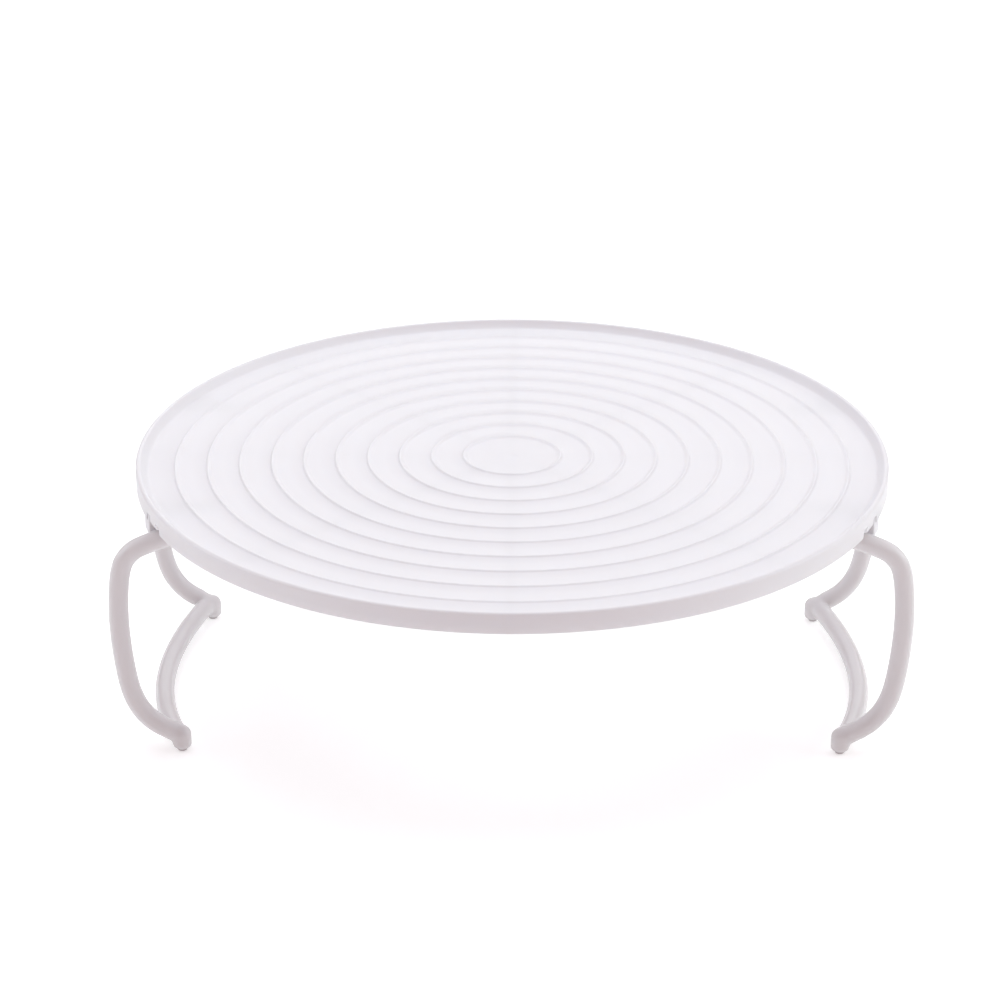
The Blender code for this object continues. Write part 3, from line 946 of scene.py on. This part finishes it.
class RackHingeKeepers(bpy.types.Operator):
    """Build the four keepers that close the hinge bearings"""

    bl_idname = "rack.hinge_keepers"
    bl_label = "Hinge keepers"

    def execute(self, context):
        colour = context.scene.rack_colours.keepers
        material = moulded_plastic("Keeper plastic", colour, shaded(colour, 0.93), 0.45)
        shape = keeper_shape()
        for side_name, side in SIDES.items():
            for end_name, end in ENDS.items():
                corner = f"{side_name}_{end_name}"
                node = "hinge_keeper_" + corner
                one, name = mirrored(shape, side, end), "keeper_cap_" + corner
                make_piece(name, one, material, "tray_body", node)
        return {"FINISHED"}


class RackFootPads(bpy.types.Operator):
    """Build the four pads under the feet"""

    bl_idname = "rack.foot_pads"
    bl_label = "Foot pads"

    def execute(self, context):
        colour = context.scene.rack_colours.pads
        # Painted shade: the pads' grey stands partly for the contact shadow under each foot.
        material = moulded_plastic(
            "Pad rubber", colour, shaded(colour, 0.85), 0.7, (300.0, 0.5), (4000.0, 0.00003)
        )
        shape = pad_shape()
        for side_name, side in SIDES.items():
            for end_name, end in ENDS.items():
                corner = f"{side_name}_{end_name}"
                node = "foot_pad_" + corner
                one, name = mirrored(shape, side, end), "sole_pad_" + corner
                make_piece(name, one, material, side_name + "_leg", node)
        return {"FINISHED"}


LIGHT_AIM = (0.0, 0.0, 0.05)
# Name, place, size, energy in watts, colour
SOFTBOXES = (
    ("Overhead softbox", (0.0, 0.2, 1.4), (1.6, 1.6), 14.9, (0.84, 0.95, 1.0)),
    ("Left softbox", (-1.5, 0.1, 0.6), (1.2, 0.9), 5.4, (0.79, 0.98, 1.0)),
    ("Right softbox", (1.5, 0.1, 0.6), (1.2, 0.9), 8.9, (0.85, 1.0, 0.99)),
    ("Back softbox", (0.0, 1.6, 0.8), (1.6, 0.9), 4.5, (0.91, 1.0, 0.99)),
)
ROOM_COLOUR = (1.0, 0.68, 0.68)
ROOM_STRENGTH = 0.344
FLOOR_SPAN = 1.4
FLOOR_DROP = 0.00005
FLOOR_WHITE = 0.9
SENSOR_WIDTH = 36.0
FLOOR_GLOW = 0.23
FLOOR_GLOW_SEEN = 0.39


def floor_material():
    """A matt white floor that glows a little to the eye, so that shadows on it stay faint.

    From beneath it is clear, so that the rack's underside can be looked at.
    """
    material = bpy.data.materials.new("Studio floor")
    material.use_nodes = True
    tree = material.node_tree
    shader = tree.nodes["Principled BSDF"]
    shader.inputs["Base Color"].default_value = (FLOOR_WHITE, FLOOR_WHITE, FLOOR_WHITE, 1.0)
    shader.inputs["Roughness"].default_value = 0.8
    shader.inputs["Specular IOR Level"].default_value = 0.2
    shader.inputs["Emission Color"].default_value = (1.0, 1.0, 1.0, 1.0)
    path = add_node(tree, "ShaderNodeLightPath", (-600, -200))
    glow = add_node(tree, "ShaderNodeMapRange", (-300, -200))
    glow.inputs["To Min"].default_value = FLOOR_GLOW
    glow.inputs["To Max"].default_value = FLOOR_GLOW_SEEN
    tree.links.new(path.outputs["Is Camera Ray"], glow.inputs["Value"])
    tree.links.new(glow.outputs["Result"], shader.inputs["Emission Strength"])
    face = add_node(tree, "ShaderNodeNewGeometry", (0, 300))
    clear = add_node(tree, "ShaderNodeBsdfTransparent", (0, -100))
    choice = add_node(tree, "ShaderNodeMixShader", (300, 100))
    tree.links.new(face.outputs["Backfacing"], choice.inputs[0])
    tree.links.new(shader.outputs[0], choice.inputs[1])
    tree.links.new(clear.outputs[0], choice.inputs[2])
    tree.links.new(choice.outputs[0], tree.nodes["Material Output"].inputs["Surface"])
    return material


def pale_room():
    """A dim, faintly warm room for the light, which looks white where it is seen."""
    world = bpy.data.worlds.new("Pale room")
    world.use_nodes = True
    tree = world.node_tree
    room = tree.nodes["Background"]
    room.inputs["Color"].default_value = (*ROOM_COLOUR, 1.0)
    room.inputs["Strength"].default_value = ROOM_STRENGTH
    seen = add_node(tree, "ShaderNodeBackground", (0, -200), Strength=1.0)
    seen.inputs["Color"].default_value = (1.0, 1.0, 1.0, 1.0)
    path = add_node(tree, "ShaderNodeLightPath", (-200, 300))
    choice = add_node(tree, "ShaderNodeMixShader", (250, 100))
    tree.links.new(path.outputs["Is Camera Ray"], choice.inputs[0])
    tree.links.new(room.outputs[0], choice.inputs[1])
    tree.links.new(seen.outputs[0], choice.inputs[2])
    tree.links.new(choice.outputs[0], tree.nodes["World Output"].inputs["Surface"])
    return world


def area_light(name, place, aim, size, energy, colour):
    """A rectangular soft light that faces its aim."""
    light = bpy.data.lights.new(name, "AREA")
    light.shape = "RECTANGLE"
    light.size, light.size_y = size
    light.energy = energy
    light.color = colour
    obj = bpy.data.objects.new(name, light)
    obj.location = place
    obj.rotation_euler = (Vector(aim) - Vector(place)).to_track_quat("-Z", "Y").to_euler()
    bpy.context.scene.collection.objects.link(obj)
    return obj


class RackStage(bpy.types.Operator):
    """Set the floor, the soft lights, the background and the camera"""

    bl_idname = "rack.stage"
    bl_label = "Stage"

    def execute(self, context):
        scene = context.scene
        stage = scene.rack_stage
        square = FLOOR_SPAN * np.array([(-1, -1, 0), (1, -1, 0), (1, 1, 0), (-1, 1, 0)])
        level = (0.0, 0.0, FLOOR_Z - FLOOR_DROP)
        floor = mesh_object("studio_floor", (square + level, [[0, 1, 2, 3]]))
        floor.data.materials.append(floor_material())
        for name, place, size, energy, colour in SOFTBOXES:
            area_light(name, place, LIGHT_AIM, size, energy, colour)
        scene.world = pale_room()
        scene.view_settings.view_transform = "Standard"
        self.place_camera(scene, stage)
        return {"FINISHED"}

    def place_camera(self, scene, stage):
        data = bpy.data.cameras.new("Camera")
        data.lens = stage.lens
        data.sensor_width = SENSOR_WIDTH
        camera = bpy.data.objects.new("Camera", data)
        e, a = stage.elevation, stage.azimuth
        back = Vector((sin(a) * cos(e), -cos(a) * cos(e), sin(e)))
        camera.location = Vector(stage.aim) + back * stage.distance
        camera.rotation_euler = (-back).to_track_quat("-Z", "Y").to_euler()
        scene.collection.objects.link(camera)
        scene.camera = camera


class RackPanel(bpy.types.Panel):
    """Lists the builders of the plate rack"""

    bl_idname = "VIEW3D_PT_plate_rack"
    bl_label = "Plate rack"
    bl_space_type = "VIEW_3D"
    bl_region_type = "UI"
    bl_category = "Plate rack"

    def draw(self, context):
        for operator in OPERATORS:
            self.layout.operator(operator.bl_idname)


# ---------------------------------------------------------------- registration


OPERATORS = (RackTray, RackLegFrames, RackHingeKeepers, RackFootPads, RackStage)
SETTINGS = {
    "rack_tray": RackTraySettings,
    "rack_legs": RackLegSettings,
    "rack_colours": RackColourSettings,
    "rack_stage": RackStageSettings,
}


def register():
    for item in (*SETTINGS.values(), *OPERATORS, RackPanel):
        bpy.utils.register_class(item)
    for name, group in SETTINGS.items():
        setattr(bpy.types.Scene, name, PointerProperty(type=group))


def unregister():
    for name in SETTINGS:
        delattr(bpy.types.Scene, name)
    for item in reversed((*SETTINGS.values(), *OPERATORS, RackPanel)):
        bpy.utils.unregister_class(item)


def main():
    register()
    bpy.ops.rack.tray()
    bpy.ops.rack.leg_frames()
    bpy.ops.rack.hinge_keepers()
    bpy.ops.rack.foot_pads()
    bpy.ops.rack.stage()


if __name__ == "__main__":
    main()
